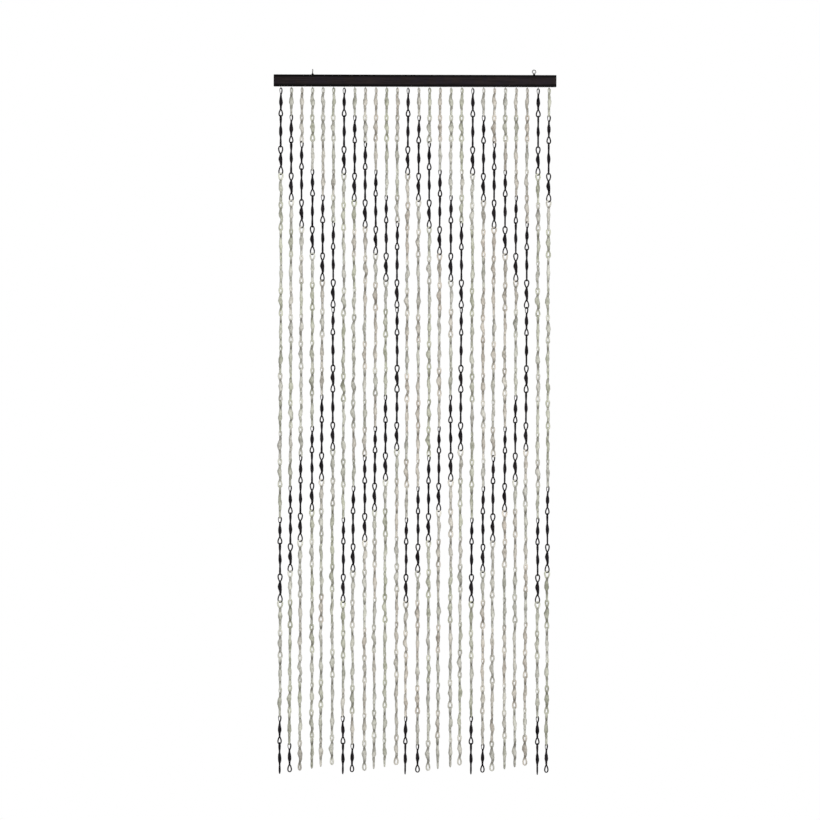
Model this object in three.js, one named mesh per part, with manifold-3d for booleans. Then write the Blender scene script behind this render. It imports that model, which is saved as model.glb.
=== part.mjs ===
// A rope door curtain: 26 strands of rope links hung from a dark wooden bar.
// Millimetres, +Z up. X runs along the bar and the front faces -Y.
// The origin is the middle of the bar's back face.
import * as THREE from "three";
import { mergeVertices } from "three/addons/utils/BufferGeometryUtils.js";
import Module from "manifold-3d";

// Bar
const barLength = 900;
const barHeight = 38;
const barDepth = 14;
const easedEdge = 1.6;
const barMiddleY = -barDepth / 2;
const barTop = barHeight / 2;
const barUnderside = -barHeight / 2;

// Clearance between pieces that meet
const clearance = 0.3;

// Screw eyes on the bar's top, from which the whole curtain hangs
const eyePlaces = [
  { name: "screw_eye_left", x: -326, turned: true },
  { name: "screw_eye_right", x: 379, turned: false },
];
const eyeWire = 3.2;
const eyeOuter = 14.2;
const eyeSides = 6;
const eyeShankDepth = 11;
const eyeRingSteps = 14;
const eyeMouthAngle = 0.12;
const collarHeight = 3.6;
const collarRadius = 3.8;
const collarNeck = 2.1;
const holeSpareDepth = 1;

// Bent wire hangers under the bar, one for each strand
const hangerWire = 1.6;
const hangerRadius = 3;
const hangerDrop = 0.7;
const hangerShankDepth = 6;
const hangerSides = 4;
const hangerMiddleZ = barUnderside - hangerDrop - hangerRadius - hangerWire / 2;
const hangerRingDegrees = [60, 15, -35, -90, -145, -195, -232];

// Strands
const strandCount = 26;
const strandPitch = 34.15;
const middleShift = -5;
const strandLean = { most: 3, side: { turn: 2.4, start: 0.7 }, front: { turn: 1.7, start: 2.1 } };
const strandSides = 3;
const linkCount = 24;
const linkPitch = 90.8;
const topLinkPitch = 84.8;
const cordWidth = 3;

// A root eye's cord rests on the lowest point inside its hanger's ring. The rest gap is taken there,
// because the ring's flats on both sides of that point come nearer to the cord.
const restGap = 0.65;
const rootMiddleZ = hangerMiddleZ - hangerRadius + (hangerWire + cordWidth) / 2 + restGap;
const rootInnerZ = rootMiddleZ - cordWidth / 2;

// A root eye's cord, from its foot in the strand to its top: half its width and its height
const rootEye = [
  { half: 1.2, up: -23 },
  { half: 4.3, up: -12 },
  { half: 4, up: -2.5 },
  { half: 0, up: cordWidth / 2 },
];
const rootNeck = { down: 20, across: 2.8, deep: 2.8 };

// The forms of a link. Each row is a section of its eye, bulge or neck: how far down the link it
// lies, as a share of its pitch, and its half widths across the curtain and through it. The first
// form and the last differ in the lower eye, which lies flat to the front or edge on.
const linkForms = [
  [
    { share: 0.49, of: "bulge", across: 5.3, deep: 5.2 },
    { share: 0.69, of: "neck", across: 2.7, deep: 2.8 },
    { share: 0.87, of: "eye", across: 7.4, deep: 2.2 },
  ],
  [
    { share: 0.17, of: "eye", across: 2.7, deep: 6.2 },
    { share: 0.5, of: "bulge", across: 4.8, deep: 4.8 },
    { share: 0.83, of: "eye", across: 2.3, deep: 6.2 },
  ],
  [
    { share: 0.14, of: "eye", across: 7.8, deep: 2.2 },
    { share: 0.46, of: "bulge", across: 6, deep: 5.6 },
    { share: 0.69, of: "neck", across: 3.4, deep: 3.2 },
    { share: 0.9, of: "eye", across: 8.8, deep: 2.4 },
  ],
  [
    { share: 0.49, of: "bulge", across: 5.3, deep: 5.2 },
    { share: 0.69, of: "neck", across: 2.7, deep: 2.8 },
    { share: 0.85, of: "eye", across: 2.3, deep: 6.2 },
  ],
];
// The two ropes: the order in which the forms follow each other, and the bulk of each section. The
// natural rope is bulkier than the black, and its eyes are drawn closer.
const ropes = {
  natural: { order: [3, 2, 1], bulge: 1.2, neck: 1.3, eye: 0.92 },
  black: { order: [0, 1, 2], bulge: 1, neck: 1, eye: 1 },
};
const strandFoot = { down: 3, across: 4, deep: 2 };

// The black runs of the zigzag, which repeats every six strands: the first link, the last link and
// the form that the run starts with
const blackRuns = [
  [
    { first: 0, last: 2, form: 0 },
    { first: 15, last: 17, form: 0 },
    { first: 22, last: 23, form: 0 },
  ],
  [
    { first: 1, last: 3, form: 0 },
    { first: 14, last: 16, form: 0 },
    { first: 23, last: 23, form: 0 },
  ],
  [
    { first: 2, last: 4, form: 0 },
    { first: 13, last: 15, form: 0 },
  ],
  [
    { first: 3, last: 5, form: 0 },
    { first: 12, last: 14, form: 0 },
  ],
  [
    { first: 4, last: 6, form: 0 },
    { first: 11, last: 13, form: 0 },
  ],
  [
    { first: 5, last: 10, form: 0 },
    { first: 11, last: 12, form: 1 },
  ],
];

const wood = { color: 0x2b2123, roughness: 0.6, metalness: 0 };
const steel = { color: 0xa7a7a4, roughness: 0.35, metalness: 0.9 };
const fibre = { color: 0xb4b1a6, roughness: 0.9, metalness: 0 };

const wasm = await Module();
wasm.setup();

// A path whose steps fall on the points that it is given
class SteppedPath extends THREE.CatmullRomCurve3 {
  getUtoTmapping(share) {
    return share;
  }
}

// A wire or cord of a regular section swept through the points
function sweptCord(points, width, sides) {
  const section = new THREE.Shape();
  for (let side = 0; side < sides; side += 1) {
    const angle = (2 * Math.PI * side) / sides;
    const x = (Math.cos(angle) * width) / 2;
    const y = (Math.sin(angle) * width) / 2;
    if (side === 0) section.moveTo(x, y);
    else section.lineTo(x, y);
  }
  return new THREE.ExtrudeGeometry(section, {
    steps: points.length - 1,
    extrudePath: new SteppedPath(points),
  });
}

// A solid of manifold-3d from a closed three.js geometry
function solidOf(geometry) {
  const bare = geometry.clone();
  bare.deleteAttribute("normal");
  bare.deleteAttribute("uv");
  const merged = mergeVertices(bare, 1e-4);
  return new wasm.Manifold(
    new wasm.Mesh({
      numProp: 3,
      vertProperties: new Float32Array(merged.attributes.position.array),
      triVerts: new Uint32Array(merged.index.array),
    }),
  );
}

// The three.js geometry of a solid
function geometryOf(solid) {
  const mesh = solid.getMesh();
  const geometry = new THREE.BufferGeometry();
  geometry.setAttribute("position", new THREE.BufferAttribute(mesh.vertProperties, 3));
  geometry.setIndex(new THREE.BufferAttribute(mesh.triVerts, 1));
  const faceted = geometry.toNonIndexed();
  faceted.computeVertexNormals();
  return faceted;
}

function namedMesh(name, geometry, look) {
  const mesh = new THREE.Mesh(geometry, new THREE.MeshStandardMaterial(look));
  mesh.name = name;
  return mesh;
}

function numbered(stem, index) {
  return `${stem}_${String(index + 1).padStart(2, "0")}`;
}

// Where a strand hangs along the bar: the spacing drifts a little towards the middle
function hangingX(index) {
  const even = (index - (strandCount - 1) / 2) * strandPitch;
  return even + middleShift * Math.sin((Math.PI * index) / (strandCount - 1));
}

// A blind hole of a few sides, with its mouth a little outside the face that it enters
function holeTool(radius, depth, sides, upward) {
  const overshoot = 1;
  const tool = new THREE.CylinderGeometry(radius, radius, depth + overshoot, sides);
  tool.rotateX(Math.PI / 2);
  tool.translate(0, 0, ((depth - overshoot) / 2) * (upward ? 1 : -1));
  return tool;
}

function makeBar() {
  const halfDepth = barDepth / 2;
  const halfHeight = barHeight / 2;
  const outline = new THREE.Shape();
  outline.moveTo(-halfDepth + easedEdge, -halfHeight);
  outline.lineTo(halfDepth - easedEdge, -halfHeight);
  outline.lineTo(halfDepth, -halfHeight + easedEdge);
  outline.lineTo(halfDepth, halfHeight - easedEdge);
  outline.lineTo(halfDepth - easedEdge, halfHeight);
  outline.lineTo(-halfDepth + easedEdge, halfHeight);
  outline.lineTo(-halfDepth, halfHeight - easedEdge);
  outline.lineTo(-halfDepth, -halfHeight + easedEdge);
  const blank = new THREE.ExtrudeGeometry(outline, { depth: barLength, bevelEnabled: false });
  blank.rotateX(Math.PI / 2);
  blank.rotateZ(Math.PI / 2);
  blank.translate(-barLength / 2, barMiddleY, 0);
  let bar = solidOf(blank);

  const flatGap = clearance / Math.cos(Math.PI / hangerSides);
  for (let index = 0; index < strandCount; index += 1) {
    const hole = holeTool(hangerWire / 2 + flatGap, hangerShankDepth + holeSpareDepth, hangerSides, true);
    hole.translate(hangingX(index), barMiddleY, barUnderside);
    bar = bar.subtract(solidOf(hole));
  }
  for (const place of eyePlaces) {
    const hole = holeTool(eyeWire / 2 + 2 * clearance, eyeShankDepth + holeSpareDepth, eyeSides, false);
    hole.translate(place.x, barMiddleY, barTop);
    bar = bar.subtract(solidOf(hole));
  }
  return namedMesh("bar", geometryOf(bar), wood);
}

// A screw eye: a turned shank and collar, and a ring of wire that closes on the collar
function makeScrewEye(place) {
  const shank = eyeWire / 2;
  const stemTop = collarHeight + shank;
  const turned = new THREE.LatheGeometry(
    [
      new THREE.Vector2(0, -eyeShankDepth),
      new THREE.Vector2(shank, -eyeShankDepth + shank),
      new THREE.Vector2(shank, clearance),
      new THREE.Vector2(collarRadius, clearance),
      new THREE.Vector2(collarRadius, collarHeight / 2),
      new THREE.Vector2(collarNeck, collarHeight),
      new THREE.Vector2(0, stemTop),
    ],
    eyeSides,
  );
  turned.rotateX(Math.PI / 2);

  const ringRadius = (eyeOuter - eyeWire) / 2;
  const ringMiddle = collarHeight + shank + ringRadius;
  const arc = 2 * Math.PI - 2 * eyeMouthAngle;
  const points = [];
  for (let step = 0; step <= eyeRingSteps; step += 1) {
    const angle = -Math.PI / 2 + eyeMouthAngle + (arc * step) / eyeRingSteps;
    const across = ringRadius * Math.cos(angle);
    const up = ringMiddle + ringRadius * Math.sin(angle);
    points.push(new THREE.Vector3(across, 0, up));
  }
  const ring = sweptCord(points, eyeWire, eyeSides);
  const eye = geometryOf(solidOf(turned).add(solidOf(ring)));
  const mesh = namedMesh(place.name, eye, steel);
  mesh.position.set(place.x, barMiddleY, barTop);
  mesh.rotation.z = place.turned ? Math.PI / 2 : 0;
  return mesh;
}

// A hanger: one length of wire, straight in the bar's hole and bent round to a ring below it
function makeHanger(index) {
  const shankTop = barUnderside + hangerShankDepth - hangerMiddleZ;
  const points = [
    new THREE.Vector3(0, 0, shankTop),
    new THREE.Vector3(0, 0, hangerRadius + hangerDrop),
  ];
  for (const degrees of hangerRingDegrees) {
    const angle = THREE.MathUtils.degToRad(degrees);
    const y = hangerRadius * Math.cos(angle);
    const z = hangerRadius * Math.sin(angle);
    points.push(new THREE.Vector3(0, y, z));
  }
  const mesh = namedMesh(
    numbered("hanger", index),
    sweptCord(points, hangerWire, hangerSides),
    steel,
  );
  mesh.position.set(hangingX(index), barMiddleY, hangerMiddleZ);
  return mesh;
}

// The height of the joint above link n, measured down from where the root eye rests
function jointDown(strand, link) {
  const shortLinks = strand % blackRuns.length;
  if (link <= shortLinks) return link * topLinkPitch;
  return shortLinks * topLinkPitch + (link - shortLinks) * linkPitch;
}

function ropeOf(strand, link) {
  const runs = blackRuns[strand % blackRuns.length];
  const isBlack = runs.some((run) => link >= run.first && link <= run.last);
  return isBlack ? ropes.black : ropes.natural;
}

// The form of a link: a rope's forms follow each other from the start of each run of one colour
function formOf(strand, link) {
  let runStart = 0;
  let runForm = 0;
  for (const run of blackRuns[strand % blackRuns.length]) {
    if (link >= run.first) {
      runStart = run.first;
      runForm = run.form;
    }
    if (link > run.last) {
      runStart = run.last + 1;
      runForm = 0;
    }
  }
  const { order } = ropeOf(strand, link);
  return linkForms[order[(link - runStart + runForm) % order.length]];
}

// The sections of one strand from its root neck to its foot
function strandSections(strand) {
  const sections = [{ ...rootNeck }];
  for (let link = 0; link < linkCount; link += 1) {
    const top = jointDown(strand, link);
    const length = jointDown(strand, link + 1) - top;
    const rope = ropeOf(strand, link);
    for (const row of formOf(strand, link)) {
      const down = top + row.share * length;
      if (down > rootNeck.down + cordWidth) {
        sections.push({ down, across: row.across * rope[row.of], deep: row.deep * rope[row.of] });
      }
    }
  }
  sections.push({ ...strandFoot, down: jointDown(strand, linkCount) + strandFoot.down });
  return sections;
}

// A strand hangs nearly plumb, with a small lean of its own
function leanAt(strand, down) {
  const { most, side, front } = strandLean;
  const share = down / (linkCount * linkPitch);
  return {
    x: most * share * Math.sin(side.turn * strand + side.start),
    y: most * share * Math.sin(front.turn * strand + front.start),
  };
}

// A strand: a prism whose rings are moved to the sections, with its root eye joined on.
// The root eye goes through its hanger's ring.
function makeStrand(strand) {
  const sections = strandSections(strand);
  const steps = sections.length - 1;
  const prism = new THREE.CylinderGeometry(1, 1, steps, strandSides, steps);
  const flatSide = Math.cos(Math.PI / strandSides);
  const corner = Math.sin((2 * Math.PI) / strandSides);
  const vertices = prism.attributes.position;
  for (let index = 0; index < vertices.count; index += 1) {
    const section = sections[Math.round(steps / 2 - vertices.getY(index))];
    const across = (vertices.getX(index) / corner) * section.across;
    const through = vertices.getZ(index);
    const deep = through > 0 ? -through * section.deep : (-through / flatSide) * section.deep;
    const lean = leanAt(strand, section.down);
    vertices.setXYZ(index, across + lean.x, deep + lean.y, -section.down);
  }

  const left = rootEye.map((row) => new THREE.Vector3(-row.half, 0, row.up));
  const right = rootEye.map((row) => new THREE.Vector3(row.half, 0, row.up));
  const loop = [...left, ...right.reverse().slice(1)];
  const root = sweptCord(loop, cordWidth, 4);

  const joined = geometryOf(solidOf(prism).add(solidOf(root)));
  const mesh = namedMesh(numbered("strand", strand), joined, fibre);
  mesh.position.set(hangingX(strand), barMiddleY, rootInnerZ);
  return mesh;
}

const curtain = new THREE.Group();
curtain.add(makeBar());
for (const place of eyePlaces) curtain.add(makeScrewEye(place));
for (let index = 0; index < strandCount; index += 1) {
  curtain.add(makeHanger(index));
  curtain.add(makeStrand(index));
}

export default curtain;
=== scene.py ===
# Rope door curtain: 26 strands of cord-wound wire links under a dark wooden bar.
import bpy
import math
import random
import numpy as np
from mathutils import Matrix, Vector


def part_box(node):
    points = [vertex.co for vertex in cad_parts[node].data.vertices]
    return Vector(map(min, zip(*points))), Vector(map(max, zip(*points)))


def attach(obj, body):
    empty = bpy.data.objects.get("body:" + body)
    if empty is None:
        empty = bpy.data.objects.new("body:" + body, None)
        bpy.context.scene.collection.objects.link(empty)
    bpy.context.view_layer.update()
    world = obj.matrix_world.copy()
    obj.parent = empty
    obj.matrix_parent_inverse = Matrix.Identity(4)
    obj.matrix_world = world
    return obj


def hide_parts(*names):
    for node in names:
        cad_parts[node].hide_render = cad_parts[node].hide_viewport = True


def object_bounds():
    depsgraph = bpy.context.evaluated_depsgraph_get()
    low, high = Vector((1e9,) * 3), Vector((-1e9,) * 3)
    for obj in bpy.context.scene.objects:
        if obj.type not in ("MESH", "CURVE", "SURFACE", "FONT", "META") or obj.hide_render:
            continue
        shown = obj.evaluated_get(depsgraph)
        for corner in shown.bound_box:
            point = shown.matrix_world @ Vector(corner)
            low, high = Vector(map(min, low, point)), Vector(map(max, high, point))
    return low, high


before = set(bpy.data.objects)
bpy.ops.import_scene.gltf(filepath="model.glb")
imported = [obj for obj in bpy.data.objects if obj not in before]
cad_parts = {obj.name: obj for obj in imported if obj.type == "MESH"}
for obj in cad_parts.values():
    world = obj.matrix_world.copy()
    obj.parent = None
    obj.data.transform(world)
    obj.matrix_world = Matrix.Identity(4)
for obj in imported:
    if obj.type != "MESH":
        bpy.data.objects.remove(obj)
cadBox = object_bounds()
mm = 0.001
print("frame loaded:", len(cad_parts), "nodes")

# Camera: face on, from far enough that the strands look parallel
cameraLook = {
    "photoPixels": 820,
    "mmPerPixel": 3.186,
    "distance": 9.0,
    "centreX": -0.0131,
    "centreZ": -1.048,
    "rollDegrees": -0.16,
    "sensorMm": 36.0,
    "clipEnd": 60.0,
}


def makeCamera():
    cameraData = bpy.data.cameras.new("photoCamera")
    frameWidth = cameraLook["photoPixels"] * cameraLook["mmPerPixel"] * mm
    cameraData.sensor_width = cameraLook["sensorMm"]
    cameraData.lens = cameraLook["sensorMm"] * cameraLook["distance"] / frameWidth
    cameraData.clip_end = cameraLook["clipEnd"]
    camera = bpy.data.objects.new("photoCamera", cameraData)
    camera.location = (cameraLook["centreX"], -cameraLook["distance"], cameraLook["centreZ"])
    camera.rotation_euler = (math.radians(90), math.radians(cameraLook["rollDegrees"]), 0)
    bpy.context.collection.objects.link(camera)
    bpy.context.scene.camera = camera


makeCamera()
print("camera made")


# Node helpers
def newMaterial(name):
    material = bpy.data.materials.new(name)
    material.use_nodes = True
    return material, material.node_tree, material.node_tree.nodes["Principled BSDF"]


def addNode(tree, kind, **settings):
    node = tree.nodes.new(kind)
    for key, value in settings.items():
        setattr(node, key, value)
    return node


def mathNode(tree, operation, first, second=None):
    node = addNode(tree, "ShaderNodeMath", operation=operation)
    for index, value in enumerate((first, second)):
        if value is None:
            continue
        if isinstance(value, (int, float)):
            node.inputs[index].default_value = value
        else:
            tree.links.new(value, node.inputs[index])
    return node.outputs[0]


def mixColour(tree, factor, first, second, blend="MIX"):
    node = addNode(tree, "ShaderNodeMix", data_type="RGBA", blend_type=blend)
    for socket, value in ((node.inputs[0], factor), (node.inputs[6], first), (node.inputs[7], second)):
        if isinstance(value, (int, float)):
            socket.default_value = value
        elif isinstance(value, tuple):
            socket.default_value = (*value, 1)
        else:
            tree.links.new(value, socket)
    return node.outputs[2]


def mapRange(tree, value, low, high, toLow=0.0, toHigh=1.0):
    node = addNode(tree, "ShaderNodeMapRange")
    tree.links.new(value, node.inputs[0])
    for index, number in enumerate((low, high, toLow, toHigh)):
        node.inputs[index + 1].default_value = number
    return node.outputs[0]


def noiseOf(tree, vector, scale, detail=2.0, roughness=0.5):
    node = addNode(tree, "ShaderNodeTexNoise")
    node.inputs["Scale"].default_value = scale
    node.inputs["Detail"].default_value = detail
    node.inputs["Roughness"].default_value = roughness
    tree.links.new(vector, node.inputs["Vector"])
    return node.outputs["Fac"]


def stretched(tree, place, stretch):
    mapping = addNode(tree, "ShaderNodeMapping")
    mapping.inputs["Scale"].default_value = stretch
    tree.links.new(place, mapping.inputs[0])
    return mapping.outputs[0]


def addBump(tree, shader, height, strength, depth):
    bump = addNode(tree, "ShaderNodeBump")
    bump.inputs["Strength"].default_value = strength
    bump.inputs["Distance"].default_value = depth
    tree.links.new(height, bump.inputs["Height"])
    tree.links.new(bump.outputs[0], shader.inputs["Normal"])


def newGroup(name, inputs, outputs):
    group = bpy.data.node_groups.new(name, "ShaderNodeTree")
    for direction, labels in (("INPUT", inputs), ("OUTPUT", outputs)):
        for label in labels:
            group.interface.new_socket(label, in_out=direction, socket_type="NodeSocketFloat")
    return group, group.nodes.new("NodeGroupInput"), group.nodes.new("NodeGroupOutput")


def placeGroup(tree, group, **values):
    node = addNode(tree, "ShaderNodeGroup", node_tree=group)
    for label, value in values.items():
        node.inputs[label].default_value = value
    return node


# Every piece is gathered from grids of points, each ring running round the piece
class PieceMesh:
    def __init__(self):
        self.points, self.faces, self.windings, self.slots = [], [], [], []
        self.values = {}
        self.count = 0

    def addGrid(self, grid, along, slot=0, **values):
        rings, sides = grid.shape[:2]
        start = self.count
        self.points.append(grid.reshape(-1, 3))
        self.count += rings * sides
        for label, value in values.items():
            spread = np.full(rings, value) if np.ndim(value) == 0 else value
            self.values.setdefault(label, []).append(np.repeat(spread, sides))
        for ring in range(rings - 1):
            low, high = start + ring * sides, start + (ring + 1) * sides
            v0, v1 = along[ring], along[ring + 1]
            for side in range(sides):
                after = (side + 1) % sides
                u0, u1 = side / sides, (side + 1) / sides
                self.faces.append((low + side, low + after, high + after, high + side))
                self.windings.append(((u0, v0), (u1, v0), (u1, v1), (u0, v1)))
                self.slots.append(slot)
        last = start + (rings - 1) * sides
        self.faces.append(tuple(start + side for side in reversed(range(sides))))
        self.windings.append(tuple((side / sides, along[0]) for side in reversed(range(sides))))
        self.faces.append(tuple(last + side for side in range(sides)))
        self.windings.append(tuple((side / sides, along[-1]) for side in range(sides)))
        self.slots += [slot, slot]

    def makeObject(self, name, *materials):
        mesh = bpy.data.meshes.new(name)
        mesh.from_pydata((np.concatenate(self.points) * mm).tolist(), [], self.faces)
        winding = mesh.uv_layers.new(name="winding")
        flat = [value for face in self.windings for corner in face for value in corner]
        winding.data.foreach_set("uv", flat)
        for label, values in self.values.items():
            layer = mesh.attributes.new(label, "FLOAT", "POINT")
            layer.data.foreach_set("value", np.concatenate(values).astype(np.float32))
        for material in materials:
            mesh.materials.append(material)
        mesh.polygons.foreach_set("material_index", self.slots)
        mesh.polygons.foreach_set("use_smooth", [len(face) == 4 for face in self.faces])
        mesh.update()
        thing = bpy.data.objects.new(name, mesh)
        bpy.context.collection.objects.link(thing)
        return thing


def sweptGrid(centre, radius, sides):
    # Wire or cord along a path in the plane of x and z
    tangent = np.gradient(centre, axis=0)
    tangent /= np.linalg.norm(tangent, axis=1)[:, None]
    normal = np.stack([-tangent[:, 1], tangent[:, 0]], 1)
    around = np.arange(sides) / sides * 2 * math.pi
    radius = np.broadcast_to(radius, len(centre))[:, None]
    grid = np.zeros((len(centre), sides, 3))
    grid[:, :, 0] = centre[:, None, 0] + normal[:, None, 0] * np.cos(around) * radius
    grid[:, :, 1] = -np.sin(around) * radius
    grid[:, :, 2] = centre[:, None, 1] + normal[:, None, 1] * np.cos(around) * radius
    along = np.concatenate([[0], np.cumsum(np.linalg.norm(np.diff(centre, axis=0), axis=1))])
    return grid, along


def lathedGrid(rows, sides):
    # Each row is a radius and a height, from the bottom upwards
    around = np.arange(sides) / sides * 2 * math.pi
    grid = np.array([[(r * math.cos(a), r * math.sin(a), z) for a in around] for r, z in rows])
    return grid, np.array([z for _, z in rows])


def turned(grid, degrees):
    c, s = math.cos(math.radians(degrees)), math.sin(math.radians(degrees))
    out = grid.copy()
    out[..., 0] = grid[..., 0] * c - grid[..., 1] * s
    out[..., 1] = grid[..., 0] * s + grid[..., 1] * c
    return out


def middleX(node):
    low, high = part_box(node)
    return (low.x + high.x) / 2 / mm


# Cord wound round a core. The mesh's winding map runs once round the link in u
# and in millimetres along it in v, so u + v / pitch counts the turns.
windingLook = {
    "wanderScale": 120.0,
    "fibreAcrossTurns": 9.0,
    "fibreRound": 5.0,
    "fibreAlong": 0.05,
    "yarnSlant": 1.1,
    "yarnStep": 0.37,  # how far the yarns shift from one turn to the next
    "fibreHeight": 0.35,
    "yarnDepth": 0.3,
}


def makeWindingGroup():
    inputs, outputs = ("Pitch", "Unevenness", "Twists"), ("Height", "Groove", "Fibre", "Twist")
    group, inside, outside = newGroup("cordWinding", inputs, outputs)
    winding = addNode(group, "ShaderNodeUVMap", uv_map="winding")
    split = addNode(group, "ShaderNodeSeparateXYZ")
    group.links.new(winding.outputs[0], split.inputs[0])
    place = addNode(group, "ShaderNodeTexCoord").outputs["Object"]
    wander = noiseOf(group, place, windingLook["wanderScale"], detail=1.0)
    turns = mathNode(group, "DIVIDE", split.outputs[1], inside.outputs["Pitch"])
    turns = mathNode(group, "ADD", turns, split.outputs[0])
    turns = mathNode(group, "ADD", turns, mathNode(group, "MULTIPLY", wander, inside.outputs["Unevenness"]))
    inTurn = mathNode(group, "SUBTRACT", mathNode(group, "FRACT", turns), 0.5)
    fromCrown = mathNode(group, "MULTIPLY", mathNode(group, "ABSOLUTE", inTurn), 2.0)
    arch = mathNode(group, "SUBTRACT", 1.0, mathNode(group, "MULTIPLY", fromCrown, fromCrown))
    crown = mathNode(group, "SQRT", mathNode(group, "MAXIMUM", arch, 0.0))

    # The cord's own fibres lie along the turn, so they are stretched round the link
    fibrePlace = addNode(group, "ShaderNodeCombineXYZ")
    for index, (value, stretch) in enumerate((
        (turns, windingLook["fibreAcrossTurns"]),
        (split.outputs[0], windingLook["fibreRound"]),
        (split.outputs[1], windingLook["fibreAlong"]),
    )):
        group.links.new(mathNode(group, "MULTIPLY", value, stretch), fibrePlace.inputs[index])
    fibre = noiseOf(group, fibrePlace.outputs[0], 1.0, detail=3.0, roughness=0.65)

    # The cord is itself twisted, which shows as slanted yarns across each turn
    slant = mathNode(group, "MULTIPLY", split.outputs[0], inside.outputs["Twists"])
    slant = mathNode(group, "ADD", slant, mathNode(group, "MULTIPLY", inTurn, windingLook["yarnSlant"]))
    shifted = mathNode(group, "MULTIPLY", mathNode(group, "FLOOR", turns), windingLook["yarnStep"])
    slant = mathNode(group, "ADD", slant, shifted)
    yarn = mathNode(group, "ABSOLUTE", mathNode(group, "SUBTRACT", mathNode(group, "FRACT", slant), 0.5))
    yarn = mathNode(group, "MULTIPLY", yarn, 2.0)
    group.links.new(yarn, outside.inputs["Twist"])

    height = mathNode(group, "ADD", crown, mathNode(group, "MULTIPLY", fibre, windingLook["fibreHeight"]))
    height = mathNode(group, "SUBTRACT", height, mathNode(group, "MULTIPLY", yarn, windingLook["yarnDepth"]))
    group.links.new(height, outside.inputs["Height"])
    group.links.new(mathNode(group, "SUBTRACT", 1.0, crown), outside.inputs["Groove"])
    group.links.new(fibre, outside.inputs["Fibre"])
    return group


windingGroup = makeWindingGroup()

# Each rope's groove colour is painted shade for its grooves and yarn gaps
ropeLook = {
    "natural": {
        "pitchMm": 3.5,
        "unevenness": 0.3,
        "twists": 9.0,
        "tints": [(0.60, 0.63, 0.45), (0.735, 0.73, 0.66), (0.76, 0.66, 0.565)],
        "bright": (0.92, 0.91, 0.83),
        "fleck": (0.19, 0.18, 0.14),
        "fleckShare": 0.75,
        "grooveShade": (0.16, 0.15, 0.12),
        "bound": (0.105, 0.095, 0.073),
        "grooveShadeShare": 0.62,
        "yarnShadeShare": 0.5,
        "patchLow": 0.6,
        "patchHigh": 1.34,
        "boundShare": 0.78,
        "roughness": 0.82,
        "sheen": 0.08,
        "specular": 0.2,
        "bump": 0.55,
    },
    "black": {
        "pitchMm": 3.0,
        "unevenness": 0.25,
        "twists": 9.0,
        "tints": [(0.004, 0.004, 0.007), (0.006, 0.005, 0.0065), (0.010, 0.006, 0.007)],
        "bright": (0.042, 0.034, 0.038),
        "fleck": (0.003, 0.002, 0.003),
        "fleckShare": 0.5,
        "grooveShade": (0.004, 0.003, 0.004),
        "bound": (0.008, 0.006, 0.007),
        "grooveShadeShare": 0.7,
        "yarnShadeShare": 0.5,
        "patchLow": 0.7,
        "patchHigh": 1.1,
        "boundShare": 0.5,
        "roughness": 0.68,
        "sheen": 0.014,
        "specular": 0.06,
        "bump": 0.6,
    },
}

# What both ropes share. A range is where a noise or a mask starts and ends to count.
ropeGrain = {
    "patchScale": 45.0,
    "patchRange": (0.3, 0.7),
    "fleckStretch": (1.0, 1.0, 0.45),
    "fleckScale": 170.0,
    "fleckRange": (0.53, 0.66),
    "brightRange": (0.75, 1.3),
    "brightShare": 0.75,
    "yarnRange": (0.35, 1.0),
    "roughRange": (0.3, 0.7),
    "roughSpread": 0.08,
    "sheenRoughness": 0.6,
    "bumpDepth": 0.0005,
}


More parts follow.
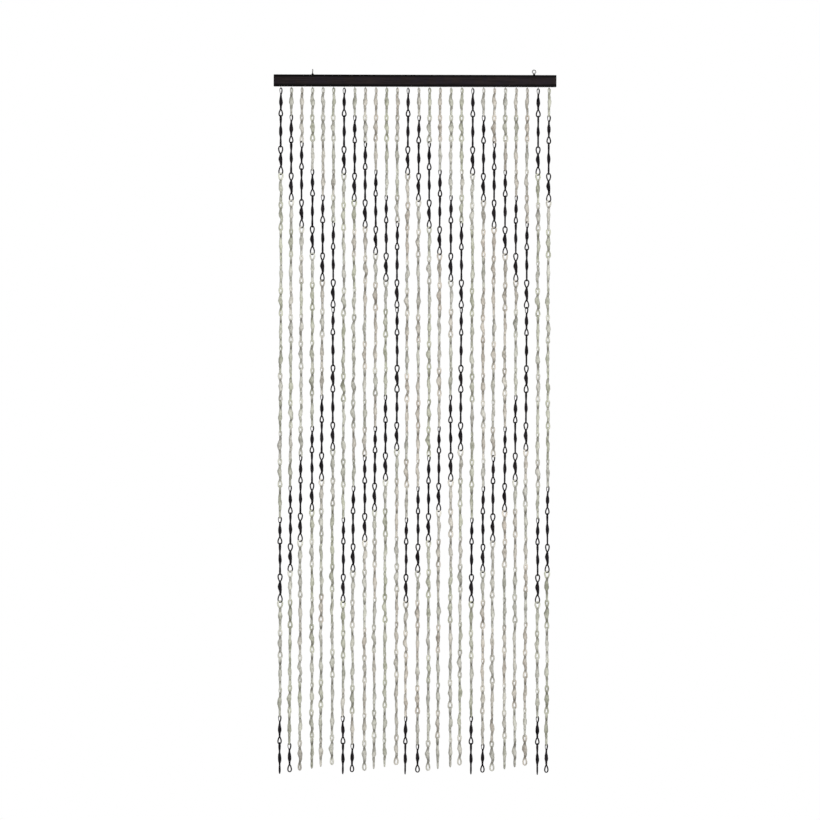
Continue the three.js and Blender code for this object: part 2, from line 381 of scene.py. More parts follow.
def makeRope(name, look):
    material, tree, shader = newMaterial(name)
    winding = placeGroup(
        tree, windingGroup, Pitch=look["pitchMm"], Unevenness=look["unevenness"], Twists=look["twists"]
    )
    tint = addNode(tree, "ShaderNodeAttribute", attribute_name="tint").outputs["Fac"]
    bound = addNode(tree, "ShaderNodeAttribute", attribute_name="bound").outputs["Fac"]
    place = addNode(tree, "ShaderNodeTexCoord").outputs["Object"]
    patches = noiseOf(tree, place, ropeGrain["patchScale"])
    ramp = addNode(tree, "ShaderNodeValToRGB")
    ramp.color_ramp.elements.new(0.5)
    for element, colour in zip(ramp.color_ramp.elements, look["tints"]):
        element.color = (*colour, 1)
    tree.links.new(tint, ramp.inputs[0])
    shade = addNode(tree, "ShaderNodeAttribute", attribute_name="shade").outputs["Fac"]
    patchShade = mapRange(tree, patches, *ropeGrain["patchRange"], look["patchLow"], look["patchHigh"])
    shade = mathNode(tree, "MULTIPLY", shade, patchShade)
    base = mixColour(tree, 1.0, ramp.outputs[0], shade, "MULTIPLY")
    fleckPlace = stretched(tree, place, ropeGrain["fleckStretch"])
    fleck = noiseOf(tree, fleckPlace, ropeGrain["fleckScale"], roughness=0.6)
    fleck = mapRange(tree, fleck, *ropeGrain["fleckRange"], 0.0, look["fleckShare"])
    base = mixColour(tree, fleck, base, look["fleck"])
    bright = mathNode(tree, "ADD", winding.outputs["Fibre"], patches)
    bright = mapRange(tree, bright, *ropeGrain["brightRange"], 0.0, ropeGrain["brightShare"])
    base = mixColour(tree, bright, base, look["bright"])
    # Painted shade: the colour is darkened in the gaps between the yarns and in the grooves between the
    # turns
    yarnGapShade = mapRange(tree, winding.outputs["Twist"], *ropeGrain["yarnRange"], 0.0, look["yarnShadeShare"])
    base = mixColour(tree, yarnGapShade, base, look["grooveShade"])
    paintedGrooveShade = mathNode(tree, "MULTIPLY", winding.outputs["Groove"], look["grooveShadeShare"])
    base = mixColour(tree, paintedGrooveShade, base, look["grooveShade"])
    base = mixColour(tree, mathNode(tree, "MULTIPLY", bound, look["boundShare"]), base, look["bound"])
    tree.links.new(base, shader.inputs["Base Color"])
    smoothest = look["roughness"] - ropeGrain["roughSpread"]
    roughest = look["roughness"] + ropeGrain["roughSpread"]
    rough = mapRange(tree, winding.outputs["Fibre"], *ropeGrain["roughRange"], smoothest, roughest)
    tree.links.new(rough, shader.inputs["Roughness"])
    shader.inputs["Sheen Weight"].default_value = look["sheen"]
    shader.inputs["Sheen Roughness"].default_value = ropeGrain["sheenRoughness"]
    shader.inputs["Specular IOR Level"].default_value = look["specular"]
    addBump(tree, shader, winding.outputs["Height"], look["bump"], ropeGrain["bumpDepth"])
    return material


ropeMaterials = {name: makeRope(name + "Rope", look) for name, look in ropeLook.items()}
print("rope materials made")

# Bar: stained wood, with long grain, pores and lighter rubbed edges. Its sizes are in millimetres.
barLook = {
    "stain": (0.0150, 0.0108, 0.0112),
    "light": (0.0270, 0.0192, 0.0190),
    "mottle": (0.0165, 0.0128, 0.0190),
    "dark": (0.0014, 0.0010, 0.0011),
    "rubbed": (0.034, 0.022, 0.019),
    "length": 900.0,
    "height": 38.0,
    "depth": 14.0,
    "rounding": 1.8,
    "roundingSteps": 5,
    "ends": [(0.0, 1.5), (0.25, 0.85), (0.8, 0.3), (1.6, 0.0)],  # in from each end, and how far it draws in
    "ringGap": 12.0,
    "uneven": 0.12,
    "unevenShares": (0.3, 1.0),  # through the bar and up it
    "ripples": [(0.061, 0.0), (0.023, 2.0)],
    "grainStretch": (1.2, 26.0, 26.0),
    "grainScale": 9.0,
    "grainRange": (0.35, 0.68),
    "bendScale": 3.0,
    "bend": 0.5,
    "poreStretch": (9.0, 420.0, 420.0),
    "poreRange": (0.52, 0.7),
    "poreShare": 0.7,
    "mottleScale": 38.0,
    "mottleRange": (0.42, 0.66),
    "mottleShare": 0.7,
    "paintedEdgeShadeFrom": 9.4,  # painted shade darkens the faces within this of the top and bottom edges
    "paintedEdgeShadeTo": 5.4,
    "paintedEdgeShadeShare": 0.92,
    "paintedEdgeShadeFace": (2.2, 0.8),  # only on the faces, which start this far from the edges
    "paintedEdgeShadeBlur": 4.0,
    "paintedEdgeShadeBlurScale": 55.0,
    "wornWithin": 1.3,
    "wornFully": 0.39,
    "wornScale": 60.0,
    "wornRange": (0.5, 0.75),
    "wornShare": 0.5,
    "roughRange": (0.3, 0.7),
    "roughLow": 0.42,
    "roughHigh": 0.62,
    "specular": 0.05,
    "grainRelief": 0.6,
    "bump": 0.35,
    "bumpDepth": 0.0004,
}


def makeBarWood():
    material, tree, shader = newMaterial("stainedBarWood")
    place = addNode(tree, "ShaderNodeTexCoord").outputs["Object"]
    bend = noiseOf(tree, place, barLook["bendScale"])
    bent = addNode(tree, "ShaderNodeVectorMath", operation="ADD")
    tree.links.new(stretched(tree, place, barLook["grainStretch"]), bent.inputs[0])
    tree.links.new(mathNode(tree, "MULTIPLY", bend, barLook["bend"]), bent.inputs[1])
    grain = noiseOf(tree, bent.outputs[0], barLook["grainScale"], detail=4.0, roughness=0.6)
    pore = noiseOf(tree, stretched(tree, place, barLook["poreStretch"]), 1.0, roughness=0.6)
    pore = mapRange(tree, pore, *barLook["poreRange"])
    lightGrain = mapRange(tree, grain, *barLook["grainRange"])
    colour = mixColour(tree, lightGrain, barLook["stain"], barLook["light"])
    mottle = noiseOf(tree, place, barLook["mottleScale"], detail=3.0, roughness=0.6)
    mottle = mapRange(tree, mottle, *barLook["mottleRange"], 0.0, barLook["mottleShare"])
    colour = mixColour(tree, mottle, colour, barLook["mottle"])
    colour = mixColour(tree, mathNode(tree, "MULTIPLY", pore, barLook["poreShare"]), colour, barLook["dark"])

    # Painted shade: the faces are darkened along their top and bottom edges
    across = addNode(tree, "ShaderNodeSeparateXYZ")
    tree.links.new(place, across.inputs[0])
    halfHeight, halfDepth = barLook["height"] / 2 * mm, barLook["depth"] / 2 * mm
    fromMiddleZ = mathNode(tree, "ABSOLUTE", across.outputs[2])
    fromMiddleY = mathNode(tree, "ABSOLUTE", mathNode(tree, "ADD", across.outputs[1], halfDepth))
    blur = noiseOf(tree, place, barLook["paintedEdgeShadeBlurScale"])
    blur = mathNode(tree, "MULTIPLY", blur, barLook["paintedEdgeShadeBlur"] * mm)
    blurred = mathNode(tree, "ADD", fromMiddleZ, blur)
    blurred = mathNode(tree, "ADD", blurred, -barLook["paintedEdgeShadeBlur"] / 2 * mm)
    paintedEdgeShadeRange = [halfHeight - barLook[limit] * mm for limit in ("paintedEdgeShadeFrom", "paintedEdgeShadeTo")]
    faceRange = [halfDepth - inside * mm for inside in barLook["paintedEdgeShadeFace"]]
    onFace = mapRange(tree, fromMiddleY, *faceRange)
    paintedEdgeShade = mathNode(tree, "MULTIPLY", mapRange(tree, blurred, *paintedEdgeShadeRange), onFace)
    paintedEdgeShade = mathNode(tree, "MULTIPLY", paintedEdgeShade, barLook["paintedEdgeShadeShare"])
    colour = mixColour(tree, paintedEdgeShade, colour, barLook["dark"])

    # The edges are rubbed in places
    worn, wornFully = barLook["wornWithin"] * mm, barLook["wornFully"] * mm
    edge = mathNode(tree, "MULTIPLY", mapRange(tree, fromMiddleZ, halfHeight - worn, halfHeight - wornFully),
                    mapRange(tree, fromMiddleY, halfDepth - worn, halfDepth - wornFully))
    rubbed = noiseOf(tree, place, barLook["wornScale"], detail=4.0)
    rubbed = mapRange(tree, rubbed, *barLook["wornRange"])
    wear = mathNode(tree, "MULTIPLY", edge, rubbed)
    wear = mathNode(tree, "MULTIPLY", wear, barLook["wornShare"])
    colour = mixColour(tree, wear, colour, barLook["rubbed"])
    tree.links.new(colour, shader.inputs["Base Color"])
    rough = mapRange(tree, grain, *barLook["roughRange"], barLook["roughLow"], barLook["roughHigh"])
    tree.links.new(rough, shader.inputs["Roughness"])
    shader.inputs["Specular IOR Level"].default_value = barLook["specular"]
    relief = mathNode(tree, "SUBTRACT", mathNode(tree, "MULTIPLY", grain, barLook["grainRelief"]), pore)
    addBump(tree, shader, relief, barLook["bump"], barLook["bumpDepth"])
    return material


def makeBar():
    halfDepth, halfHeight, rounding = barLook["depth"] / 2, barLook["height"] / 2, barLook["rounding"]
    profile = []
    for corner, (y, z) in enumerate(((1, 1), (-1, 1), (-1, -1), (1, -1))):
        for step in range(barLook["roundingSteps"] + 1):
            angle = math.pi / 2 * (corner + step / barLook["roundingSteps"])
            profile.append((
                y * (halfDepth - rounding) + rounding * math.cos(angle),
                z * (halfHeight - rounding) + rounding * math.sin(angle),
            ))
    profile = np.array(profile)
    ends, gap = barLook["ends"], barLook["ringGap"]
    halfLength = barLook["length"] / 2
    inner = np.arange(-halfLength + gap, halfLength - gap / 2, gap)
    rows = [(-halfLength + x, inset) for x, inset in ends] + [(x, 0.0) for x in inner]
    rows += [(halfLength - x, inset) for x, inset in reversed(ends)]
    grid = np.zeros((len(rows), len(profile), 3))
    for index, (x, inset) in enumerate(rows):
        shrink = np.array([1 - inset / halfDepth, 1 - inset / halfHeight])
        waves = sum(math.sin(x * rate + start) for rate, start in barLook["ripples"])
        ripple = barLook["uneven"] * waves / 2
        shrink -= np.array(barLook["unevenShares"]) * barLook["uneven"] / halfHeight * (1 + ripple)
        grid[index, :, 0] = x
        grid[index, :, 1] = profile[:, 0] * shrink[0] - halfDepth
        grid[index, :, 2] = profile[:, 1] * shrink[1]
    piece = PieceMesh()
    piece.addGrid(grid, grid[:, 0, 0])
    bar = piece.makeObject("wooden_bar", barWood)
    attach(bar, "root")
    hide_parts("bar")


# Steel wire: finely scratched, and dulled in patches
steelLook = {
    "eye": {"base": (0.34, 0.34, 0.33), "dull": (0.15, 0.145, 0.14), "rough": 0.38},
    # The collar's dark steel is painted shadow at the shank's base
    "collar": {"base": (0.040, 0.038, 0.038), "dull": (0.018, 0.017, 0.018), "rough": 0.45},
    "hanger": {"base": (0.50, 0.50, 0.48), "dull": (0.28, 0.27, 0.25), "rough": 0.34},
}
steelGrain = {
    "dullScale": 260.0,
    "dullRange": (0.42, 0.68),
    "metallic": 0.9,
    "smoother": 0.06,
    "rougher": 0.2,
    "scratchScale": 1500.0,
    "bump": 0.15,
    "bumpDepth": 0.0001,
}


def makeSteel(name, look):
    material, tree, shader = newMaterial(name)
    place = addNode(tree, "ShaderNodeTexCoord").outputs["Object"]
    dull = noiseOf(tree, place, steelGrain["dullScale"], detail=4.0, roughness=0.6)
    dull = mapRange(tree, dull, *steelGrain["dullRange"])
    colour = mixColour(tree, dull, look["base"], look["dull"])
    tree.links.new(colour, shader.inputs["Base Color"])
    shader.inputs["Metallic"].default_value = steelGrain["metallic"]
    smoothest, roughest = look["rough"] - steelGrain["smoother"], look["rough"] + steelGrain["rougher"]
    tree.links.new(mapRange(tree, dull, 0.0, 1.0, smoothest, roughest), shader.inputs["Roughness"])
    scratches = noiseOf(tree, place, steelGrain["scratchScale"], roughness=0.7)
    addBump(tree, shader, scratches, steelGrain["bump"], steelGrain["bumpDepth"])
    return material


# Screw eyes: a ring of wire that closes on a dark collar, and a pointed shank in the bar. The dark collar is
# painted shadow where the shank meets the bar
screwEye = {
    "wire": 3.2,
    "outer": 14.2,
    "mouth": 0.12,
    "ringUp": 3.6,  # from the bar to the ring
    "collar": [
        (0.2, 0.3), (3.5, 0.3), (3.8, 0.6), (3.8, 1.7), (3.3, 2.4), (2.3, 3.3), (1.9, 4.4), (0.2, 5.2),
    ],
    "shank": [(0.1, -11.0), (1.0, -9.8), (1.6, -8.8), (1.6, 0.4), (0.2, 0.6)],
    "turns": {"screw_eye_left": 90.0, "screw_eye_right": 0.0},
    "ringSteps": 49,
    "ringSides": 14,
    "shankSides": 20,
    "collarSides": 28,
}


def makeScrewEyes():
    barTop, middleY = barLook["height"] / 2, -barLook["depth"] / 2
    radius = (screwEye["outer"] - screwEye["wire"]) / 2
    ringMiddle = screwEye["ringUp"] + screwEye["wire"] / 2 + radius
    mouth = screwEye["mouth"]
    angle = np.linspace(-math.pi / 2 + mouth, 1.5 * math.pi - mouth, screwEye["ringSteps"])
    ring = np.stack([radius * np.cos(angle), ringMiddle + radius * np.sin(angle)], 1)
    for name, turn in screwEye["turns"].items():
        piece = PieceMesh()
        for (grid, along), slot in (
            (sweptGrid(ring[::-1], screwEye["wire"] / 2, screwEye["ringSides"]), 0),
            (lathedGrid(screwEye["shank"], screwEye["shankSides"]), 0),
            (lathedGrid(screwEye["collar"], screwEye["collarSides"]), 1),
        ):
            grid = turned(grid, turn) + np.array([middleX(name), middleY, barTop])
            piece.addGrid(grid, along, slot)
        eye = piece.makeObject(name + "_wire", eyeSteel, collarSteel)
        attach(eye, "root")
        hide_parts(name)


# Hangers: straight wire in the bar, bent to a ring that the root eye goes through
hangerLook = {
    "wire": 1.6,
    "radius": 3.0,
    "drop": 0.7,
    "inBar": 6.0,
    "bend": [(0.0, 2.0), (0.0, 0.9), (0.22, 0.35)],  # points above the ring, aside and up
    "ringFrom": 78.0,
    "ringTo": -232.0,
    "turn": 90.0,  # edge on to the front
    "ringSteps": 30,
    "sides": 8,
}


def makeHangers():
    radius, wire = hangerLook["radius"], hangerLook["wire"]
    underside, middleY = -barLook["height"] / 2, -barLook["depth"] / 2
    ringMiddle = underside - hangerLook["drop"] - radius - wire / 2
    shankTop = underside + hangerLook["inBar"] - ringMiddle
    angle = np.linspace(hangerLook["ringFrom"], hangerLook["ringTo"], hangerLook["ringSteps"])
    angle = np.radians(angle)
    ring = np.stack([radius * np.cos(angle), radius * np.sin(angle)], 1)
    shank = [(0.0, shankTop)] + [(aside, radius + up) for aside, up in hangerLook["bend"]]
    path = np.concatenate([np.array(shank), ring])
    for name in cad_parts:
        if not name.startswith("hanger"):
            continue
        grid, along = sweptGrid(path, wire / 2, hangerLook["sides"])
        grid = turned(grid, hangerLook["turn"]) + np.array([middleX(name), middleY, ringMiddle])
        piece = PieceMesh()
        piece.addGrid(grid, along)
        hanger = piece.makeObject(name + "_wire", hangerSteel)
        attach(hanger, "root")
        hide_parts(name)


barWood = makeBarWood()
eyeSteel = makeSteel("screwEyeSteel", steelLook["eye"])
collarSteel = makeSteel("screwEyeShadowCollar", steelLook["collar"])
hangerSteel = makeSteel("hangerSteel", steelLook["hanger"])
makeBar()
makeScrewEyes()
makeHangers()
print("bar, screw eyes and hangers made")

# Strands. Lengths are in millimetres and follow the bar's own sizes.
strandPlan = {
    "count": 26,
    "links": 24,
    "pitch": 90.8,
    "topPitch": 84.8,
    "rootDown": 25.4,  # where a root eye rests, below the bar's middle
    "lean": 3.0,
    "sideTurn": 2.4,
    "sideStart": 0.7,
    "frontTurn": 1.7,
    "frontStart": 2.1,
    "jointWander": {"natural": 1.1, "black": 0.6},
    "tint": (0.1, 0.9),
    "seed": 26,
}

# The black links of the zigzag, which repeats every six strands: the first and last link of each
# run and the form that it starts with
blackRuns = [
    [(0, 2, 0), (15, 17, 0), (22, 23, 0)],
    [(1, 3, 0), (14, 16, 0), (23, 23, 0)],
    [(2, 4, 0), (13, 15, 0)],
    [(3, 5, 0), (12, 14, 0)],
    [(4, 6, 0), (11, 13, 0)],
    [(5, 10, 0), (11, 12, 1)],
]


def eyeForm(turn, width, reach, point, thin=1.0, heavy=1.0, boundFrom=0.6, pale=1.22):
    # An eye's turn about the strand in degrees, outer width, length from the joint, how pointed it
    # is, the bulk of its left branch and of its lower part, where its binding starts and how much
    # paler than the body it is in the natural rope
    return {
        "turn": turn, "width": width, "reach": reach, "point": point,
        "thin": thin, "heavy": heavy, "boundFrom": boundFrom, "pale": pale,
    }


# The forms that links take, in turn, from the start of each run. The body's profile gives shares of
# the link's length with its radius and its shift across.
linkForms = [
    {
        "length": 0.975,
        "top": eyeForm(42, 15.5, 22, 0.9, thin=0.5, pale=1.05),
        "bottom": eyeForm(4, 15.5, 23, 1.0),
        "body": [
            (0.17, 1.6, 0.4), (0.21, 2.5, 0.3), (0.30, 2.8, 0.0), (0.35, 3.7, -0.1), (0.42, 4.9, 0.0),
            (0.50, 5.4, 0.2), (0.56, 5.1, 0.2), (0.61, 3.9, 0.1), (0.65, 3.0, 0.0), (0.74, 2.7, 0.0),
            (0.79, 1.8, 0.0),
        ],
    },
    {
        "length": 1.05,
        "top": eyeForm(74, 13.5, 27, 1.1, heavy=1.2, boundFrom=0.3, pale=1.0),
        "bottom": eyeForm(84, 13.0, 27, 1.1, heavy=1.2, pale=1.0),
        "body": [
            (0.22, 1.6, 0.0), (0.27, 2.1, 0.0), (0.33, 2.7, -0.2), (0.38, 3.8, -0.3), (0.45, 4.5, 0.0),
            (0.52, 4.9, 0.3), (0.58, 4.6, 0.3), (0.64, 3.4, 0.1), (0.68, 2.4, 0.0), (0.74, 2.0, 0.0),
            (0.79, 1.6, 0.0),
        ],
    },
    {
        "length": 0.975,
        "top": eyeForm(4, 16.5, 25, 0.8),
        "bottom": eyeForm(-22, 18.0, 27, 1.0),
        "body": [
            (0.22, 1.7, 0.0), (0.26, 2.7, 0.0), (0.31, 3.6, -0.2), (0.37, 4.8, -0.8), (0.43, 5.8, -1.2),
            (0.48, 6.0, -1.0), (0.54, 5.1, -0.2), (0.60, 4.0, 0.8), (0.66, 3.5, 1.2), (0.72, 2.9, 0.9),
            (0.77, 1.9, 0.4),
        ],
    },
]

# In the natural rope the first form's lower eye lies edge on
linkForms.append({**linkForms[0], "bottom": linkForms[1]["bottom"]})
formOrder = {"natural": [3, 2, 1], "black": [0, 1, 2]}

linkLook = {
    "cord": {"natural": 5.7, "black": 4.5},
    "bulk": {"natural": 1.26, "black": 1.12},
    "neck": {"natural": 4.2, "black": 2.8},
    "bulkSpread": {"natural": 0.12, "black": 0.05},
    "lumps": {"natural": 0.35, "black": 0.12},
    "sway": {"natural": 2.4, "black": 0.3},
    "eyeWidth": {"natural": 0.91, "black": 1.0},
    "eyeReach": {"natural": 0.86, "black": 0.96},
    "rootEye": eyeForm(20, 12.0, 21, 0.9, thin=0.5, pale=1.0),
    "openEye": eyeForm(3, 21.0, 26, 1.2, pale=1.42),
    "openBodyFrom": 0.21,
    "tip": 0.82,  # how thick the cord is where an eye meets the next one
    "rootTip": 0.7,
    "tipAngle": 0.7,
    "heavyWithin": 0.4,  # shares of an eye's length
    "boundWithin": 0.4,
    "eyeSides": 8,
    "eyeSteps": 17,
    "loopEnd": 0.93,
    "bodySides": 10,
    "bodyRings": 50,
    "endNeck": 0.62,  # the body's end, as a share of its neck, and how soon it is full
    "neckWithin": 0.1,
    "straightWithin": 0.12,
    "lumpRate": (28, 46),
    "swayRate": (4, 9),
    "smoothing": (0.25, 0.5, 0.25),
    "ridgeHeight": 0.3,
    "ridgeFrom": 1.8,  # the body's radius where the ridges start, and over how much they rise
    "ridgeRise": 1.5,
    "bodyBoundBelow": 0.72,  # the body is bound where it is thinner than this share
    "bodyBoundRange": 0.25,
    "turnSpread": {"natural": 24.0, "black": 6.0},
    "tintSpread": 0.45,
    "shade": (0.78, 1.12),
    "widthSpread": 0.07,
}
anyPhase = (0, 6.28)


def colourOf(strand, link):
    runs = blackRuns[strand % len(blackRuns)]
    return "black" if any(first <= link <= last for first, last, _ in runs) else "natural"


def formOf(strand, link):
    runStart, runForm = 0, 0
    for first, last, firstForm in blackRuns[strand % len(blackRuns)]:
        if link >= first:
            runStart, runForm = first, firstForm
        if link > last:
            runStart, runForm = last + 1, 0
    order = formOrder[colourOf(strand, link)]
    return linkForms[order[(link - runStart + runForm) % len(order)]]


def jointDown(strand, link):
    short = strand % len(blackRuns)
    if link <= short:
        return link * strandPlan["topPitch"]
    return short * strandPlan["topPitch"] + (link - short) * strandPlan["pitch"]


def eyeGrid(eye, cord, tip, widthShare, reachShare):
    # A teardrop loop of cord in the plane of x and z, with its tip at the joint
    steps = linkLook["eyeSteps"]
    angle = np.linspace(-1, 1, steps) * math.pi * linkLook["loopEnd"]
    shape = np.sin(angle) * np.cos(angle / 2) ** eye["point"]
    half = (eye["width"] * widthShare - cord) / 2
    reach = eye["reach"] * reachShare
    x = shape / shape.max() * half
    z = tip * cord / 2 - (reach + tip * cord / 2) * (1 - np.cos(angle)) / 2
    thick = np.where(angle < 0, 1 + (eye["thin"] - 1) * np.sin(np.minimum(-angle, math.pi / 2)), 1.0)
    thick *= 1 - (1 - tip) * np.exp(-((angle / linkLook["tipAngle"]) ** 2))
    thick *= 1 + (eye["heavy"] - 1) * np.clip(-z / reach / linkLook["heavyWithin"], 0, 1)
    grid, lengths = sweptGrid(np.stack([x, z], 1), cord / 2 * thick, linkLook["eyeSides"])
    bound = np.clip((-z / reach - eye["boundFrom"]) / linkLook["boundWithin"], 0, 1)
    return grid, lengths, bound


def bodyGrid(body, length, colour, draw):
    # The wound body between the eyes, with low ridges where the cord is wound over itself
    shares = np.array([row[0] for row in body])
    t = np.linspace(shares[0], shares[-1], linkLook["bodyRings"])
    spread = linkLook["bulkSpread"][colour]
    bulk = linkLook["bulk"][colour] * (1 + draw.uniform(-spread, spread))
    radius = np.interp(t, shares, [row[1] for row in body]) * bulk
    fromEnd = np.minimum(t - t[0], t[-1] - t)
    neck = np.clip(linkLook["endNeck"] + fromEnd / linkLook["neckWithin"], 0, 1)
    radius = np.maximum(radius, linkLook["neck"][colour] * neck)
    shift = np.interp(t, shares, [row[2] for row in body])
    free = np.clip(fromEnd / linkLook["straightWithin"], 0, 1)
    lumps, sway = linkLook["lumps"][colour], linkLook["sway"][colour]
    lumpRate, lumpPhase = draw.uniform(*linkLook["lumpRate"]), draw.uniform(*anyPhase)
    radius += lumps * free * np.sin(t * lumpRate + lumpPhase)
    swayShare = draw.uniform(-1, 1)
    swayRate, swayPhase = draw.uniform(*linkLook["swayRate"]), draw.uniform(*anyPhase)
    shift += sway * free * swayShare * np.sin(t * swayRate + swayPhase)
    radius[1:-1] = np.convolve(radius, linkLook["smoothing"], "valid")
    shift[1:-1] = np.convolve(shift, linkLook["smoothing"], "valid")
    z = -t * length
    around = np.arange(linkLook["bodySides"]) / linkLook["bodySides"] * 2 * math.pi
    turns = -z[:, None] / ropeLook[colour]["pitchMm"] + around[None, :] / (2 * math.pi)
    ridge = -linkLook["ridgeHeight"] * np.cos(2 * math.pi * turns)
    ridge = ridge * np.clip((radius[:, None] - linkLook["ridgeFrom"]) / linkLook["ridgeRise"], 0, 1)
    full = radius[:, None] + ridge
    grid = np.zeros((len(t), len(around), 3))
    grid[:, :, 0] = shift[:, None] + np.cos(around)[None, :] * full
    grid[:, :, 1] = np.sin(around)[None, :] * full
    grid[:, :, 2] = z[:, None]
    bound = np.clip((linkLook["bodyBoundBelow"] - radius / radius.max()) / linkLook["bodyBoundRange"], 0, 1)
    return grid[::-1], -z[::-1], bound[::-1]


def placed(grid, top, bottom):
    # Moves a link's grid from its own axis, down from the origin, to the line between two joints
    length = np.linalg.norm(bottom - top)
    share = grid[..., 2:3] / length
    out = grid.copy()
    out[..., 0] += top[0] - share[..., 0] * (bottom[0] - top[0])
    out[..., 1] += top[1] - share[..., 0] * (bottom[1] - top[1])
    out[..., 2] = top[2] + grid[..., 2]
    return out


def jointsOf(strand, draw):
    # Where a strand's links meet. It leans a little, and a long form takes room from the links beside it.
    low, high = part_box(f"hanger_{strand + 1:02d}")
    rootX, rootY = (low.x + high.x) / 2 / mm, (low.y + high.y) / 2 / mm
    drop = strandPlan["links"] * strandPlan["pitch"]
    side = strandPlan["lean"] * math.sin(strandPlan["sideTurn"] * strand + strandPlan["sideStart"])
    front = strandPlan["lean"] * math.sin(strandPlan["frontTurn"] * strand + strandPlan["frontStart"])
    joints = []
    for link in range(strandPlan["links"] + 1):
        down = jointDown(strand, link)
        if 0 < link < strandPlan["links"]:
            above, below = formOf(strand, link - 1)["length"], formOf(strand, link)["length"]
            down += (above - below) * strandPlan["pitch"] / 2
        wander = strandPlan["jointWander"][colourOf(strand, max(link - 1, 0))] if link else 0
        x = rootX + side * down / drop + draw.uniform(-wander, wander)
        y = rootY + front * down / drop + draw.uniform(-wander, wander)
        joints.append(np.array([x, y, -strandPlan["rootDown"] - down]))
    return joints


def addLink(mesh, strand, link, top, bottom, draw, strandTint):
    colour, form = colourOf(strand, link), formOf(strand, link)
    cord = linkLook["cord"][colour]
    length = np.linalg.norm(bottom - top)
    spread = linkLook["turnSpread"][colour]
    widthShare = 1 + draw.uniform(-1, 1) * linkLook["widthSpread"]
    tintSpread = linkLook["tintSpread"]
    tint = min(max(strandTint + draw.uniform(-tintSpread, tintSpread), 0), 1)
    shade = draw.uniform(*linkLook["shade"])
    topEye, topTip, body = form["top"], linkLook["tip"], form["body"]
    if link == 0:
        topEye, topTip = linkLook["rootEye"], linkLook["rootTip"]
    elif colour == "natural" and colourOf(strand, link - 1) == "black":
        # The first natural link under a black run opens wide
        topEye = linkLook["openEye"]
        body = [row for row in body if row[0] >= linkLook["openBodyFrom"]]
    topTurn = topEye["turn"] + draw.uniform(-spread, spread)
    bottomTurn = form["bottom"]["turn"] + draw.uniform(-spread, spread)
    widthShare *= linkLook["eyeWidth"][colour]
    reachShare = linkLook["eyeReach"][colour]

    def addPart(grid, along, bound, pale=1.0):
        partShade = shade * pale if colour == "natural" else shade
        mesh.addGrid(placed(grid, top, bottom), along, tint=tint, shade=partShade, bound=bound)

    grid, along, bound = eyeGrid(topEye, cord, topTip, widthShare if link else 1.0, reachShare)
    addPart(turned(grid, topTurn), along, bound, topEye["pale"])
    grid, along, bound = eyeGrid(form["bottom"], cord, linkLook["tip"], widthShare, reachShare)
    grid = turned(grid, bottomTurn)
    grid[..., 2] = -length - grid[..., 2]
    addPart(grid[:, ::-1], along, bound, form["bottom"]["pale"])
    grid, along, bound = bodyGrid(body, length, colour, draw)
    addPart(grid, along, bound)


def makeStrand(strand, draw):
    node = f"strand_{strand + 1:02d}"
    joints = jointsOf(strand, draw)
    strandTint = draw.uniform(*strandPlan["tint"])
    ropes = {"natural": PieceMesh(), "black": PieceMesh()}
    for link in range(strandPlan["links"]):
        rope = ropes[colourOf(strand, link)]
        addLink(rope, strand, link, joints[link], joints[link + 1], draw, strandTint)
    for colour, rope in ropes.items():
        piece = rope.makeObject(f"{colour}_links_{strand + 1:02d}", ropeMaterials[colour])
        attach(piece, "root")
        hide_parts(node)


strandDraw = random.Random(strandPlan["seed"])
for strand in range(strandPlan["count"]):
    makeStrand(strand, strandDraw)
print("strands made")

# Floor, world and lights: a plain white studio, in metres
stageLook = {
    "floorGap": 0.03,
    "size": 30.0,
    "floorBack": 3.0,
    "white": (0.95, 0.95, 0.95),
    "roughness": 0.9,
    "worldSeen": 1.0,
    "worldLight": 0.45,
    "lights": {
        "key_light": {"place": (2.6, -6.6, 0.2), "target": (0, 0, -1.1), "size": 2.0, "energy": 215.0},
        "fill_light": {"place": (-3.0, -5.0, -0.4), "target": (0, 0, -1.2), "size": 3.0, "energy": 30.0},
        "back_light": {"place": (1.0, 6.5, 0.6), "target": (0, 0, -1.1), "size": 3.0, "energy": 110.0},
    },
    "unseenLight": "back_light",
}


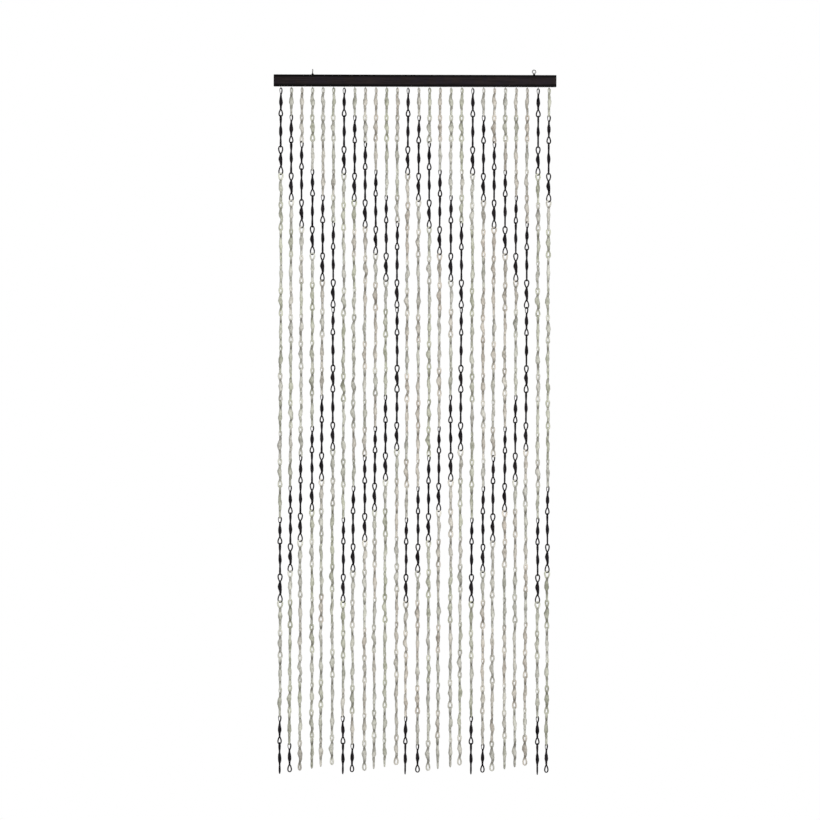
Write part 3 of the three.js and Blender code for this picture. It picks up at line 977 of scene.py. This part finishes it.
def makeFloor():
    # Plain white, and evenly bright where the camera sees it
    material, tree, shader = newMaterial("studioWhite")
    shader.inputs["Base Color"].default_value = (*stageLook["white"], 1)
    shader.inputs["Roughness"].default_value = stageLook["roughness"]
    shader.inputs["Specular IOR Level"].default_value = 0.0
    glow = addNode(tree, "ShaderNodeEmission")
    blank = addNode(tree, "ShaderNodeMixShader")
    tree.links.new(addNode(tree, "ShaderNodeLightPath").outputs["Is Camera Ray"], blank.inputs[0])
    tree.links.new(shader.outputs[0], blank.inputs[1])
    tree.links.new(glow.outputs[0], blank.inputs[2])
    tree.links.new(blank.outputs[0], tree.nodes["Material Output"].inputs["Surface"])
    half, back = stageLook["size"] / 2, stageLook["floorBack"]
    floorZ = cadBox[0].z - stageLook["floorGap"]
    corners = [(x, y, floorZ) for x, y in ((-half, -half), (half, -half), (half, back), (-half, back))]
    mesh = bpy.data.meshes.new("studio_floor")
    mesh.from_pydata(corners, [], [(0, 1, 2, 3)])
    mesh.materials.append(material)
    floor = bpy.data.objects.new("studio_floor", mesh)
    bpy.context.collection.objects.link(floor)


def makeWorld():
    world = bpy.data.worlds.new("studioWorld")
    world.use_nodes = True
    tree = world.node_tree
    background = tree.nodes["Background"]
    background.inputs[0].default_value = (1, 1, 1, 1)
    seen = addNode(tree, "ShaderNodeLightPath").outputs["Is Camera Ray"]
    strength = mapRange(tree, seen, 0.0, 1.0, stageLook["worldLight"], stageLook["worldSeen"])
    tree.links.new(strength, background.inputs[1])
    bpy.context.scene.world = world


def makeLight(name, place, target, size, energy):
    lightData = bpy.data.lights.new(name, "AREA")
    lightData.energy = energy
    lightData.size = size
    light = bpy.data.objects.new(name, lightData)
    light.location = place
    light.rotation_euler = (Vector(target) - Vector(place)).to_track_quat("-Z", "Y").to_euler()
    light.visible_camera = name != stageLook["unseenLight"]
    bpy.context.collection.objects.link(light)


makeFloor()
makeWorld()
for name, light in stageLook["lights"].items():
    makeLight(name, **light)
bpy.context.scene.view_settings.view_transform = "Standard"
print("studio made")
